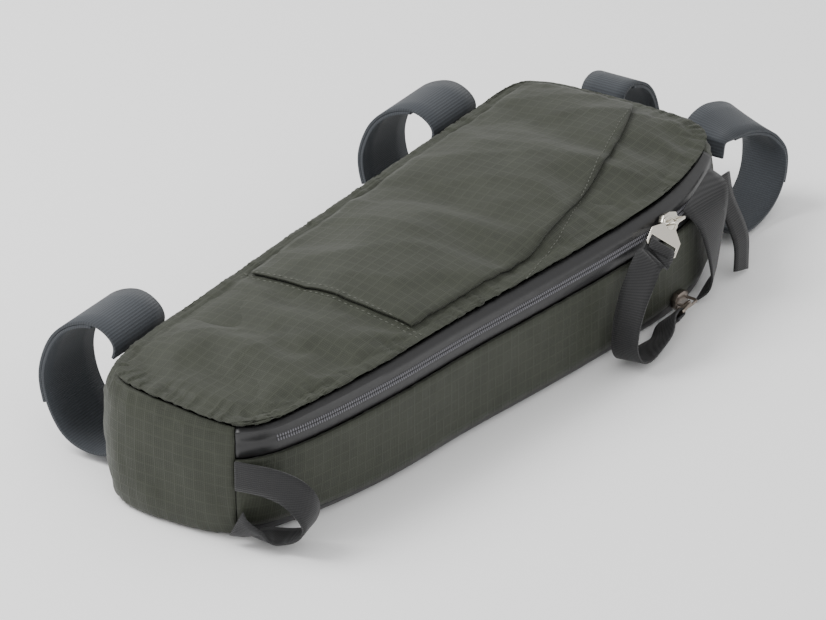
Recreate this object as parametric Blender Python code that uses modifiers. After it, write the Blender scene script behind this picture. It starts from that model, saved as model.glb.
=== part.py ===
"""Top tube bag: a wedge of ripstop cloth that lies on its side.

X runs from the narrow end to the wide end, -Y is the zip side, +Y is the side
that lies along the bicycle's top tube, and Z is up from the surface it lies on.
All sizes are in metres.
"""
import math
from collections import namedtuple

import bmesh
import bpy
from mathutils import Matrix, Vector

# Driving sizes of the body
BODY_LENGTH = 0.378
NARROW_HEIGHT = 0.092
WIDE_HEIGHT = 0.140
SEAM_HEIGHT = 0.0615      # height of the seam round the upper panel
CROWN = 0.0045            # how far the upper panel's middle stands over its rim
CLOTH = 0.0016            # coated cloth with its foam backing
FLAP_CLOTH = 0.0011
SEAM_GAP = 0.0008
TOUCH_GAP = 0.0003
RIM_RISE = 0.0022         # first fold of the puffed rim over the seam
RIM_OVERHANG = 0.0012
RIM_TURN = 0.0045         # how far the rim rolls in before the panel is level
FOOT_TURN = 0.0042        # how far the walls roll in under the bag
FOOT_LIFT = 0.0004

# Zips
GUSSET_TOP = 0.0450       # height of the folded edge under the upper zip
GUSSET_PROUD = 0.0009
ZIP_CLOTH = 0.0014
ZIP_BULGE = 0.0016        # the rounded roll along the upper zip's tape
ZIP_TUCK = 0.0010

# Sliders and their pulls
SLIDER_LENGTH = 0.0125
SLIDER_WIDTH = 0.0090
SLIDER_DEPTH = 0.0030
BRIDGE_WIRE = 0.0008      # radius of the bridge
BRIDGE_SPAN = 0.0090
BRIDGE_RISE = 0.0062      # from the slider's face to the middle of the bridge
TAB_LENGTH = 0.0150       # from the middle of its ring to its end
TAB_DEPTH = 0.0013
TAB_RING = 0.0042         # outer radius of the ring
TAB_HOLE = 0.0030
TAB_CROSSBAR = 0.0020
SLOT_DEPTH = 0.0034
SLOT_SIDE = 0.0014        # metal beside the slot
SLOT_PLAY = 0.0004        # gap beside the strap in its slot

# Webbing and strap sizes
WEBBING = 0.0011
TAPE = 0.0015
PULL_WIDTH = 0.0150
NARROW_LOOP_WIDTH = 0.0150
TAIL_WIDTH = 0.0145
TUBE_TAPE_WIDTH = 0.0400
END_TAPE_WIDTH = 0.0250

# Faces
WALL_STEP = 0.0100        # spacing of the columns round the walls
PANEL_COLUMNS = 22
PANEL_ROWS = 9
FLOOR_ROWS = 5
FLAP_COLUMNS = 20
FLAP_ROWS = 7
FLAP_LIFT = 0.0008        # gap under the pocket layer
RING_STEPS = 30
RING_EASE = 5             # steps in which the hook strap takes the loop strap's line
BODY_COLLECTION = "top_tube_bag"

# The outline at mid height, clockwise from above. along and across are shares
# of the length and of the height there. seam is the seam's height, top_in and
# low_in say how far the wall leans in at its top and foot, and lip is the rim's
# rise, all as shares of SEAM_HEIGHT; roll is the share of the seam's height where
# the wall starts to roll in. A name in wall starts that wall's cloth, and corner
# marks the panel's four corners.
Row = namedtuple("Row", "along across seam top_in low_in lip roll wall corner")
OUTLINE = (
    Row(0.060, -0.075, 1.07, 0.150, 0.070, 0.035, 0.74, "tube", ""),
    Row(0.132, -0.095, 1.07, 0.165, 0.070, 0.040, 0.75, "", ""),
    Row(0.291, -0.095, 1.07, 0.170, 0.070, 0.035, 0.75, "", ""),
    Row(0.503, -0.086, 1.07, 0.165, 0.070, 0.030, 0.75, "", ""),
    Row(0.714, -0.078, 1.07, 0.165, 0.070, 0.035, 0.75, "", ""),
    Row(0.886, -0.072, 1.07, 0.165, 0.070, 0.040, 0.75, "", ""),
    Row(0.958, -0.058, 1.08, 0.145, 0.070, 0.045, 0.74, "wide", ""),
    Row(0.992, -0.015, 1.08, 0.110, 0.060, 0.050, 0.72, "", "wide_tube"),
    Row(1.009, 0.080, 1.08, 0.090, 0.050, 0.055, 0.70, "", ""),
    Row(1.017, 0.285, 1.08, 0.085, 0.045, 0.055, 0.70, "", ""),
    Row(1.020, 0.535, 1.07, 0.085, 0.045, 0.055, 0.70, "", ""),
    Row(1.015, 0.715, 1.06, 0.080, 0.045, 0.050, 0.70, "", ""),
    Row(0.996, 0.815, 1.04, 0.070, 0.045, 0.045, 0.65, "", "wide_zip"),
    Row(0.966, 0.880, 1.02, 0.105, 0.040, 0.045, 0.55, "zip", ""),
    Row(0.910, 0.958, 1.01, 0.160, 0.025, 0.050, 0.48, "", ""),
    Row(0.817, 1.028, 1.00, 0.175, 0.005, 0.050, 0.48, "", ""),
    Row(0.706, 1.044, 1.00, 0.155, 0.000, 0.050, 0.48, "", ""),
    Row(0.550, 1.047, 1.00, 0.135, 0.000, 0.050, 0.48, "", ""),
    Row(0.399, 1.039, 1.00, 0.110, 0.010, 0.050, 0.48, "", ""),
    Row(0.209, 1.044, 1.00, 0.085, 0.025, 0.045, 0.50, "", ""),
    Row(0.090, 1.009, 1.00, 0.050, 0.075, 0.040, 0.52, "", ""),
    Row(0.053, 0.984, 0.99, 0.040, 0.095, 0.035, 0.55, "", ""),
    Row(0.021, 0.940, 0.985, 0.035, 0.105, 0.035, 0.58, "", "narrow_zip"),
    Row(0.001, 0.856, 0.99, 0.040, 0.115, 0.035, 0.60, "narrow", ""),
    Row(-0.006, 0.740, 1.00, 0.055, 0.060, 0.040, 0.62, "", ""),
    Row(-0.009, 0.490, 1.03, 0.065, 0.020, 0.040, 0.64, "", ""),
    Row(-0.008, 0.272, 1.05, 0.075, 0.015, 0.040, 0.66, "", ""),
    Row(-0.002, 0.110, 1.06, 0.090, 0.030, 0.035, 0.68, "", ""),
    Row(0.022, -0.020, 1.07, 0.120, 0.060, 0.035, 0.72, "", "narrow_tube"),
)
PANEL_SIDES = {
    "tube": ("narrow_tube", "wide_tube"),
    "wide": ("wide_tube", "wide_zip"),
    "zip": ("wide_zip", "narrow_zip"),
    "narrow": ("narrow_zip", "narrow_tube"),
}

# Where the lower zip meets the cloth above it, as a share of SEAM_HEIGHT
ZipRise = namedtuple("ZipRise", "along rise")
LOWER_ZIP_RISE = (
    ZipRise(0.00, 0.130),
    ZipRise(0.07, 0.115),
    ZipRise(0.15, 0.085),
    ZipRise(0.40, 0.075),
    ZipRise(0.66, 0.080),
    ZipRise(0.82, 0.125),
    ZipRise(1.00, 0.150),
)

# The upper zip's section: up is a share of its height, out of ZIP_BULGE
ZipFold = namedtuple("ZipFold", "up out")
UPPER_ZIP_SECTION = (
    ZipFold(0.00, -0.55),
    ZipFold(0.24, 0.10),
    ZipFold(0.42, 0.10),
    ZipFold(0.54, -0.25),
    ZipFold(0.70, 0.55),
    ZipFold(0.88, 1.00),
    ZipFold(1.00, -0.20),
)

# Soft dents and waves of the upper panel: places and reach are shares of the
# length and height, lift is a share of the crown and turn is in degrees.
Wave = namedtuple("Wave", "along across reach_along reach_across turn lift")
WAVES = (
    Wave(0.18, 0.55, 0.050, 0.30, 0, -0.55),
    Wave(0.30, 0.62, 0.040, 0.24, 8, -0.60),
    Wave(0.36, 0.45, 0.040, 0.30, -12, 0.40),
    Wave(0.52, 0.80, 0.060, 0.12, -20, -0.45),
    Wave(0.60, 0.35, 0.050, 0.25, 20, -0.40),
    Wave(0.74, 0.55, 0.060, 0.20, -25, 0.40),
    Wave(0.86, 0.25, 0.040, 0.25, 15, -0.50),
    Wave(0.90, 0.85, 0.060, 0.14, 10, -0.55),
)

# The pocket's outer layer ends at a slanting hem: across grows as along falls
HemPoint = namedtuple("HemPoint", "along across")
POCKET_HEM = (
    HemPoint(0.985, 0.600),
    HemPoint(0.915, 0.655),
    HemPoint(0.800, 0.725),
    HemPoint(0.635, 0.865),
    HemPoint(0.500, 0.985),
)
POCKET_STITCH_ALONG = 0.303
POCKET_EDGE = 0.050       # margin between the pocket layer and the panel's rim, as a share

# A hook-and-loop ring from its upper root round to its lower one. out and up are
# shares of the ring's reach and top, side is a share of its lean.
RingRow = namedtuple("RingRow", "out up side")
RING = (
    RingRow(-0.075, 0.800, 0.00),
    RingRow(-0.050, 0.880, 0.00),
    RingRow(0.060, 0.960, 0.05),
    RingRow(0.245, 1.000, 0.10),
    RingRow(0.479, 0.970, 0.20),
    RingRow(0.681, 0.899, 0.30),
    RingRow(0.826, 0.804, 0.40),
    RingRow(0.932, 0.676, 0.50),
    RingRow(0.994, 0.527, 0.62),
    RingRow(0.974, 0.392, 0.75),
    RingRow(0.889, 0.250, 0.88),
    RingRow(0.723, 0.132, 0.98),
    RingRow(0.500, 0.076, 1.00),
    RingRow(0.245, 0.068, 1.00),
    RingRow(0.060, 0.100, 1.00),
    RingRow(-0.030, 0.155, 1.00),
)
LOOP_STRAP_END = 0.62     # shares of the ring where one strap ends and the other starts
HOOK_STRAP_START = 0.17

# The four rings. place is the share of the length or height at their middle,
# lean and tilt (degrees) say how far a ring sags to one side.
Ring = namedtuple("Ring", "name wall place width reach top lean tilt")
RINGS = (
    Ring("tube_strap_near", "tube", 0.125, TUBE_TAPE_WIDTH, 0.0430, 0.0745, 0.0, 0.0),
    Ring("tube_strap_far", "tube", 0.858, TUBE_TAPE_WIDTH, 0.0440, 0.0725, 0.0, 0.0),
    Ring("end_strap_left", "wide", 0.385, END_TAPE_WIDTH, 0.0405, 0.0700, 0.0, 0.0),
    Ring("end_strap_right", "wide", 0.880, END_TAPE_WIDTH, 0.0600, 0.0590, -0.010, 26.0),
)

# A webbing route: along, out and up are shares of the strap's own reach and
# rise, and the across columns turn its width, which lies along X, Y and Z.
Bend = namedtuple("Bend", "along out up across_x across_y across_z")
NARROW_LOOP_REACH = 0.0330
NARROW_LOOP_RISE = 0.0375
NARROW_LOOP = (
    Bend(0.000, 0.00, 1.00, 0.0, 0.0, 1.00),
    Bend(0.050, 0.24, 1.00, 0.0, 0.0, 1.00),
    Bend(0.140, 0.52, 0.97, 0.10, 0.0, 0.99),
    Bend(0.245, 0.79, 0.87, 0.30, 0.0, 0.95),
    Bend(0.340, 0.96, 0.68, 0.60, 0.0, 0.80),
    Bend(0.420, 0.98, 0.45, 0.85, 0.0, 0.50),
    Bend(0.420, 0.84, 0.24, 1.00, 0.0, 0.15),
    Bend(0.370, 0.56, 0.14, 1.00, 0.0, 0.00),
    Bend(0.220, 0.36, 0.17, 0.97, 0.0, -0.20),
    Bend(0.050, 0.20, 0.24, 0.60, 0.0, -0.80),
    Bend(0.000, 0.00, 0.33, 0.0, 0.0, -1.00),
)

# The corner's loop is cut on a slant: each row gives its left and right edge.
# along is a share of CORNER_LOOP_SPAN, out of CORNER_LOOP_OUT, up of SEAM_HEIGHT.
CORNER_LOOP_ALONG = 0.817
CORNER_LOOP_SPAN = 0.0450
CORNER_LOOP_OUT = 0.0095
LoopRow = namedtuple("LoopRow", "left_along left_out left_up right_along right_out right_up")
CORNER_LOOP = (
    LoopRow(0.05, -0.10, 0.900, 0.96, -0.98, 0.960),
    LoopRow(0.09, 0.28, 0.830, 0.88, 0.20, 0.930),
    LoopRow(0.17, 0.52, 0.740, 0.78, 0.62, 0.830),
    LoopRow(0.25, 0.68, 0.600, 0.74, 0.60, 0.660),
    LoopRow(0.31, 0.95, 0.360, 0.76, 0.30, 0.400),
    LoopRow(0.35, 0.96, 0.195, 0.80, 0.05, 0.210),
    LoopRow(0.33, 0.75, 0.095, 0.82, -0.15, 0.095),
    LoopRow(0.25, 0.33, 0.040, 0.72, -0.25, 0.040),
)
TAIL_PLACE = 0.960
TAIL_REACH = 0.0190
TAIL = (
    Bend(0.00, 0.20, 0.810, 0.99, 0.05, 0.05),
    Bend(-0.05, 0.38, 0.600, 0.99, 0.05, 0.05),
    Bend(-0.08, 0.70, 0.430, 0.99, 0.05, 0.05),
    Bend(-0.14, 0.92, 0.300, 0.99, 0.05, 0.05),
    Bend(-0.24, 1.00, 0.160, 0.99, 0.05, 0.05),
    Bend(-0.34, 1.05, 0.055, 0.99, 0.05, 0.05),
)
PULL_REACH = 0.0450
PULL_OUT = 0.0100
PULL_RISE = 0.0500
# The pull strap between its two tabs: shares of its reach toward the narrow end,
# of its reach outward and of its rise
PULL_STRAP = (
    Bend(-0.30, 0.15, 0.960, 0.50, -0.65, -0.50),
    Bend(-0.58, 0.30, 0.830, 0.32, -0.85, -0.25),
    Bend(-0.82, 0.45, 0.650, 0.15, -0.97, 0.0),
    Bend(-0.96, 0.55, 0.440, 0.02, -0.98, 0.15),
    Bend(-1.00, 0.62, 0.260, -0.02, -0.98, 0.20),
    Bend(-0.92, 0.68, 0.120, -0.02, -0.99, 0.12),
    Bend(-0.74, 0.75, 0.075, 0.0, -1.0, 0.08),
    Bend(-0.52, 0.82, 0.100, 0.0, -0.97, 0.25),
    Bend(-0.30, 0.86, 0.135, 0.0, -0.85, 0.50),
)

# Colours (linear), roughness and metallic value of each finish
RIPSTOP = ("ripstop_cloth", (0.040, 0.046, 0.036, 1.0), 0.55, 0.0)
ZIP_TAPE = ("laminated_zip", (0.030, 0.030, 0.034, 1.0), 0.38, 0.0)
GROSGRAIN = ("grosgrain_webbing", (0.050, 0.050, 0.054, 1.0), 0.85, 0.0)
HOOK_TAPE = ("hook_and_loop_tape", (0.105, 0.120, 0.128, 1.0), 0.90, 0.0)
NICKEL = ("nickel", (0.62, 0.60, 0.56, 1.0), 0.28, 1.0)
DARK_NICKEL = ("dark_nickel", (0.20, 0.19, 0.18, 1.0), 0.32, 1.0)

# The zips' two sliders. along is a share of the length, rise of SEAM_HEIGHT and
# hook of BRIDGE_RISE, where the tab's ring hangs; run and width are directions.
Slider = namedtuple("Slider", "name along rise bulge hook run width finish")
SLIDERS = (
    Slider("upper", 0.785, 0.886, ZIP_BULGE, 0.48, (-0.75, -0.05, -0.66), (0.60, -0.55, -0.58),
           NICKEL),
    Slider("lower", 0.808, 0.146, 0.0, 0.61, (-0.97, -0.10, -0.03), (0.05, -0.72, 0.69),
           DARK_NICKEL),
)


def clear_scene():
    """Remove what the file opened with."""
    for obj in list(bpy.data.objects):
        bpy.data.objects.remove(obj, do_unlink=True)


def material(finish):
    """The Principled material of a finish, made once."""
    name, colour, roughness, metallic = finish
    found = bpy.data.materials.get(name)
    if found:
        return found
    made = bpy.data.materials.new(name)
    made.use_nodes = True
    shader = made.node_tree.nodes["Principled BSDF"]
    shader.inputs["Base Color"].default_value = colour
    shader.inputs["Roughness"].default_value = roughness
    shader.inputs["Metallic"].default_value = metallic
    made.diffuse_color = colour
    return made


def height_at(along):
    """Height of the bag's side, tube edge to zip edge, at a share of its length."""
    return NARROW_HEIGHT + (WIDE_HEIGHT - NARROW_HEIGHT) * along


def smooth(points, knots, place):
    """A smooth curve through vectors at rising knots."""
    last = len(knots) - 2
    i = 0
    while i < last and place > knots[i + 1]:
        i += 1
    span = knots[i + 1] - knots[i]
    t = (place - knots[i]) / span

    def slope(j):
        if j == 0:
            return (points[1] - points[0]) / (knots[1] - knots[0])
        if j == len(points) - 1:
            return (points[j] - points[j - 1]) / (knots[j] - knots[j - 1])
        before = knots[j] - knots[j - 1]
        after = knots[j + 1] - knots[j]
        rise = (points[j] - points[j - 1]) / before * after
        fall = (points[j + 1] - points[j]) / after * before
        return (rise + fall) / (before + after)

    t2, t3 = t * t, t * t * t
    start, end = slope(i) * span, slope(i + 1) * span
    return (points[i] * (2 * t3 - 3 * t2 + 1) + start * (t3 - 2 * t2 + t)
            + points[i + 1] * (3 * t2 - 2 * t3) + end * (t3 - t2))


def chord_knots(points):
    """Distances along a run of points."""
    knots = [0.0]
    for a, b in zip(points, points[1:]):
        knots.append(knots[-1] + (b - a).length)
    return knots


class Outline:
    """The bag's closed outline at mid height, with how its walls lean and roll."""

    def __init__(self, rows):
        flat = []
        shapes = []
        for row in rows:
            flat.append(Vector((row.along * BODY_LENGTH, -row.across * height_at(row.along), 0.0)))
            sizes = [share * SEAM_HEIGHT for share in (row.seam, row.top_in, row.low_in, row.lip)]
            shapes.append(Vector(sizes + [row.roll]))
        count = len(rows)
        ring = chord_knots(flat + flat[:1])
        self.length = ring[-1]
        self.marks = {}
        for row, place in zip(rows, ring):
            if row.wall:
                self.marks[row.wall] = place
            if row.corner:
                self.marks[row.corner] = place
        # three rows more at each end make the curve run on through the start
        lead = 3
        order = [i % count for i in range(-lead, count + lead + 1)]
        self.points = [flat[i] for i in order]
        self.shapes = [shapes[i] for i in order]
        offset = chord_knots(self.points)
        self.knots = [k - offset[lead] for k in offset]

    def at(self, place):
        """Point and outward direction at a distance round the outline."""
        place = place % self.length
        step = 0.0005
        ahead = smooth(self.points, self.knots, place + step)
        behind = smooth(self.points, self.knots, place - step)
        run = (ahead - behind).normalized()
        return smooth(self.points, self.knots, place), Vector((-run.y, run.x, 0.0))

    def shape(self, place):
        """Seam height, lean at the top and foot, rim rise and start of the roll."""
        return smooth(self.shapes, self.knots, place % self.length)

    def between(self, start, end, t):
        """The distance at share t of the way from one mark to the next."""
        a, b = self.marks[start], self.marks[end]
        if b <= a:
            b += self.length
        return a + (b - a) * t

    def nearest_along(self, start, end, along):
        """The distance where a wall crosses a share of the length."""
        places = [self.between(start, end, i / 400) for i in range(401)]
        return min(places, key=lambda place: abs(self.at(place)[0].x - along * BODY_LENGTH))


def raised(point, height):
    """The same place at a height."""
    return Vector((point.x, point.y, height))


def wall_point(outline, place, height, proud=0.0):
    """A point of the wall's outer face at a height, moved out by proud."""
    point, outward = outline.at(place)
    seam, top_in, low_in, _, roll = outline.shape(place)
    share = min(height / seam, 1.0)
    upper = max(0.0, (share - roll) / (1.0 - roll))
    lower = max(0.0, 1.0 - 2.0 * share)
    inset = top_in * (1.0 - math.sqrt(1.0 - upper * upper)) + low_in * lower ** 2.2
    return raised(point + outward * (proud - inset), height)


def foot_point(outline, place, inward, height):
    """A point under the bag, measured in from the wall's foot."""
    point, outward = outline.at(place)
    return raised(point - outward * (outline.shape(place)[2] + inward), height)


def rim_point(outline, place, inward, rise):
    """A point of the upper panel's rim, measured in and up from the seam."""
    point, outward = outline.at(place)
    shape = outline.shape(place)
    return raised(point - outward * (shape[1] + inward), shape[0] + rise)


def add_object(mesh, name, finish, collection):
    """An object for a mesh, with its material, in a collection."""
    obj = bpy.data.objects.new(name, mesh)
    collection.objects.link(obj)
    mesh.materials.append(material(finish))
    return obj


def sheet(name, columns, rows, place, thickness, finish, collection, flip=False, offset=-1.0):
    """Cloth: a grid laid on place(u, v), with a wall's thickness."""
    bm = bmesh.new()
    bmesh.ops.create_grid(bm, x_segments=columns, y_segments=rows, size=0.5)
    for vert in bm.verts:
        vert.co = place(vert.co.x + 0.5, vert.co.y + 0.5)
    if flip:
        bmesh.ops.reverse_faces(bm, faces=bm.faces)
    mesh = bpy.data.meshes.new(name)
    bm.to_mesh(mesh)
    bm.free()
    mesh.shade_smooth()
    obj = add_object(mesh, name, finish, collection)
    wall = obj.modifiers.new("thickness", "SOLIDIFY")
    wall.thickness = thickness
    wall.offset = offset
    return obj


def wall_sheet(name, outline, start, end, levels, thickness, finish, collection):
    """A wall between two seams. levels gives (height, proud) from foot to top."""
    first = outline.between(start, end, 0.0) + SEAM_GAP / 2
    last = outline.between(start, end, 1.0) - SEAM_GAP / 2
    columns = max(4, round((last - first) / WALL_STEP))
    rows = len(levels(first)) - 1

    def place(u, v):
        where = first + (last - first) * u
        height, proud = levels(where)[round(v * rows)]
        if height < FOOT_TURN:
            return foot_point(outline, where, proud, height)
        return wall_point(outline, where, height, proud)

    return sheet(name, columns, rows, place, thickness, finish, collection, flip=True)


FOOT_LEVELS = ((FOOT_LIFT, FOOT_TURN), (0.28 * FOOT_TURN, 0.45 * FOOT_TURN))


def plain_levels(outline):
    """Levels of a wall that has no zip in it, foot first."""
    shares = (0.12, 0.42, 0.70, 0.86, 0.95, 1.0)

    def levels(where):
        top = outline.shape(where)[0]
        return FOOT_LEVELS + tuple((top * share, 0.0) for share in shares)
    return levels


def zip_rise(outline, where):
    """Height of the gusset's lower edge, over the lower zip."""
    along = min(max(outline.at(where)[0].x / BODY_LENGTH, 0.0), 1.0)
    knots = [row.along for row in LOWER_ZIP_RISE]
    points = [Vector((row.rise, 0.0)) for row in LOWER_ZIP_RISE]
    return smooth(points, knots, along).x * SEAM_HEIGHT


def gusset_levels(outline):
    """Levels of the cloth between the two zips, which ends in a folded edge."""
    def levels(where):
        low = zip_rise(outline, where) + SEAM_GAP / 2
        span = GUSSET_TOP - low
        return tuple((low + span * s, GUSSET_PROUD * s ** 3) for s in (0.0, 0.35, 0.72, 1.0))
    return levels


def upper_zip_levels(outline):
    """Levels of the upper zip, tucked under the gusset's edge."""
    def levels(where):
        low = GUSSET_TOP + SEAM_GAP / 2
        span = outline.shape(where)[0] - low
        return tuple((low + span * fold.up, ZIP_BULGE * fold.out) for fold in UPPER_ZIP_SECTION)
    return levels


def lower_zip_levels(outline):
    """Levels of the lower zip, which rolls in under the bag."""
    def levels(where):
        low = 1.02 * FOOT_TURN
        top = max(zip_rise(outline, where) - SEAM_GAP / 2, low * 1.1)
        return FOOT_LEVELS + ((low, -ZIP_TUCK), (top, -ZIP_TUCK))
    return levels


def on_side(outline, side, t, edge):
    """A point on one side of a panel, at share t of the way round it."""
    start, end = PANEL_SIDES[side]
    return edge(outline.between(start, end, t))


def patch(outline, edge, a, b):
    """The surface stretched between the four edges of a panel's middle."""
    tube, zips = on_side(outline, "tube", a, edge), on_side(outline, "zip", 1 - a, edge)
    narrow, wide = on_side(outline, "narrow", 1 - b, edge), on_side(outline, "wide", b, edge)
    near = on_side(outline, "tube", 0, edge) * (1 - b) + on_side(outline, "zip", 1, edge) * b
    far = on_side(outline, "tube", 1, edge) * (1 - b) + on_side(outline, "zip", 0, edge) * b
    return tube * (1 - b) + zips * b + narrow * (1 - a) + wide * a - near * (1 - a) - far * a


def panel_sheet(name, outline, rings, inner, middle_rows, finish, collection, flip):
    """A side panel: rings of cloth round its edge and a middle, inner(a, b)."""
    count = len(rings)
    columns = PANEL_COLUMNS + 2 * count
    rows = middle_rows + 2 * count

    def place(u, v):
        i, j = round(u * columns), round(v * rows)
        depth = min(i, columns - i, j, rows - j)
        if depth >= count:
            return inner((i - count) / PANEL_COLUMNS, (j - count) / middle_rows)
        across = (i - depth) / (columns - 2 * depth)
        down = (j - depth) / (rows - 2 * depth)
        if j == depth:
            return on_side(outline, "tube", across, rings[depth])
        if j == rows - depth:
            return on_side(outline, "zip", 1 - across, rings[depth])
        if i == depth:
            return on_side(outline, "narrow", 1 - down, rings[depth])
        return on_side(outline, "wide", down, rings[depth])

    return sheet(name, columns, rows, place, CLOTH, finish, collection, flip=flip)


def wave_lift(x, y):
    """Rise or dent of the upper panel's cloth at a place."""
    lift = 0.0
    for wave in WAVES:
        dx = x - wave.along * BODY_LENGTH
        dy = y + wave.across * height_at(wave.along)
        turn = math.radians(wave.turn)
        u = (dx * math.cos(turn) + dy * math.sin(turn)) / (wave.reach_along * BODY_LENGTH)
        v = (dy * math.cos(turn) - dx * math.sin(turn)) / (wave.reach_across * height_at(wave.along))
        lift += wave.lift * CROWN * math.exp(-u * u - v * v)
    return lift


def upper_rings(outline):
    """The puffed rim of the upper panel, from the seam up."""
    def seam(place):
        return rim_point(outline, place, SEAM_GAP, 0.5 * SEAM_GAP)

    def fold(place):
        return rim_point(outline, place, -RIM_OVERHANG, RIM_RISE)

    def roll(place):
        rise = max(RIM_RISE * 1.3, 0.8 * outline.shape(place)[3])
        return rim_point(outline, place, 0.15 * RIM_TURN, rise)

    return (seam, fold, roll)


def upper_surface(outline):
    """The middle of the upper panel: crowned, with its waves."""
    def edge(place):
        return rim_point(outline, place, RIM_TURN, outline.shape(place)[3])

    def inner(a, b):
        point = patch(outline, edge, a, b)
        fade = (1 - (2 * a - 1) ** 6) * (1 - (2 * b - 1) ** 4)
        point.z += fade * (CROWN + wave_lift(point.x, point.y))
        return point

    return inner


def faceted(inner):
    """The same surface with the flats of the panel's own faces."""
    def on_faces(a, b):
        i = min(int(a * PANEL_COLUMNS), PANEL_COLUMNS - 1)
        j = min(int(b * PANEL_ROWS), PANEL_ROWS - 1)
        s, t = a * PANEL_COLUMNS - i, b * PANEL_ROWS - j
        near = [inner((i + k) / PANEL_COLUMNS, j / PANEL_ROWS) for k in (0, 1)]
        far = [inner((i + k) / PANEL_COLUMNS, (j + 1) / PANEL_ROWS) for k in (0, 1)]
        return near[0].lerp(near[1], s).lerp(far[0].lerp(far[1], s), t)

    return on_faces


def build_body(outline, collection):
    """The bag's walls, panels and pocket layer."""
    def foot_ring(place):
        return foot_point(outline, place, FOOT_TURN + SEAM_GAP, FOOT_LIFT)

    def floor_edge(place):
        return foot_point(outline, place, FOOT_TURN + SEAM_GAP + RIM_TURN, 0.0)

    panel_sheet("upper_panel", outline, upper_rings(outline), upper_surface(outline), PANEL_ROWS,
                RIPSTOP, collection, flip=True)
    panel_sheet("lower_panel", outline, (foot_ring,), lambda a, b: patch(outline, floor_edge, a, b),
                FLOOR_ROWS, RIPSTOP, collection, flip=False)
    walls = (
        ("tube_gusset", "tube", "wide", plain_levels, CLOTH, RIPSTOP),
        ("wide_end_panel", "wide", "zip", plain_levels, CLOTH, RIPSTOP),
        ("narrow_end_panel", "narrow", "tube", plain_levels, CLOTH, RIPSTOP),
        ("zip_gusset", "zip", "narrow", gusset_levels, CLOTH, RIPSTOP),
        ("upper_zip", "zip", "narrow", upper_zip_levels, ZIP_CLOTH, ZIP_TAPE),
        ("lower_zip", "zip", "narrow", lower_zip_levels, ZIP_CLOTH, ZIP_TAPE),
    )
    for name, start, end, levels, thickness, finish in walls:
        wall_sheet(name, outline, start, end, levels(outline), thickness, finish, collection)
    build_pocket_flap(outline, collection)


def build_pocket_flap(outline, collection):
    """The pocket's outer layer, from its cross stitch to its slanting hem."""
    surface = faceted(upper_surface(outline))
    knots = [1 - row.along for row in POCKET_HEM]
    across = [Vector((row.across, 0.0)) for row in POCKET_HEM]

    def on_panel(u, v):
        along = POCKET_STITCH_ALONG + (POCKET_HEM[0].along - POCKET_STITCH_ALONG) * u
        knot = min(max(1 - along, knots[0]), knots[-1])
        limit = min(smooth(across, knots, knot).x, 1 - POCKET_EDGE)
        return surface(along, POCKET_EDGE + (limit - POCKET_EDGE) * v)

    def lifted(u, v):
        step = 0.01
        run = on_panel(min(u + step, 1), v) - on_panel(max(u - step, 0), v)
        rise = on_panel(u, min(v + step, 1)) - on_panel(u, max(v - step, 0))
        return on_panel(u, v) + rise.cross(run).normalized() * (FLAP_LIFT + FLAP_CLOTH)

    sheet("pocket_flap", FLAP_COLUMNS, FLAP_ROWS, lifted, FLAP_CLOTH, RIPSTOP, collection, flip=True)


def stations(centres, acrosses, steps):
    """Even steps along a strap's route: centre, width direction and face direction."""
    knots = chord_knots(centres)
    nudge = 0.0005
    found = []
    for i in range(steps + 1):
        where = knots[-1] * i / steps
        ahead = smooth(centres, knots, min(where + nudge, knots[-1]))
        run = (ahead - smooth(centres, knots, max(where - nudge, 0.0))).normalized()
        across = smooth(acrosses, knots, where)
        across = (across - run * across.dot(run)).normalized()
        found.append((smooth(centres, knots, where), across, run.cross(across)))
    return found


def strap(name, steps, width, thickness, finish, collection):
    """A flat strap through its stations."""
    def place(u, v):
        centre, across, _ = steps[round(u * (len(steps) - 1))]
        return centre + across * width * (v - 0.5)

    return sheet(name, len(steps) - 1, 1, place, thickness, finish, collection, offset=0.0)


def wall_reach(outline, place, half, out, height, drop, clear):
    """How far out a wall stands over a strap's width, whose lower edge is down by drop."""
    spots = [(shift * half, fall) for shift in (-1.0, -0.5, 0.0, 0.5, 1.0) for fall in (0.0, drop)]
    return max(wall_point(outline, place + shift, height - fall, clear).dot(out)
               for shift, fall in spots)


def ring_route(outline, ring):
    """Centres and width directions round a strap's ring."""
    if ring.wall == "tube":
        place = outline.nearest_along("tube", "wide", ring.place)
        out, side = Vector((0, 1, 0)), Vector((1, 0, 0))
    else:
        place = outline.between("wide_tube", "wide_zip", ring.place)
        out, side = Vector((1, 0, 0)), Vector((0, 1, 0))
    root = outline.at(place)[0]
    centres, acrosses = [], []
    for row in RING:
        height = row.up * ring.top
        # both ends lie on the wall, and the rest clears the rim
        clear = TOUCH_GAP + TAPE / 2 + (0.0 if row in (RING[0], RING[-1]) else RIM_OVERHANG)
        point = raised(root + out * (row.out * ring.reach) + side * (row.side * ring.lean), height)
        half = ring.width / 2
        tilt = math.radians(ring.tilt) * row.up * min(max(4.0 * row.out, 0.0), 1.0)
        wall = wall_reach(outline, place, half, out, height, half * math.sin(tilt), clear)
        point += out * max(0.0, wall - point.dot(out))
        centres.append(point)
        acrosses.append(side * math.cos(tilt) + Vector((0, 0, 1)) * math.sin(tilt))
    return centres, acrosses


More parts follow.
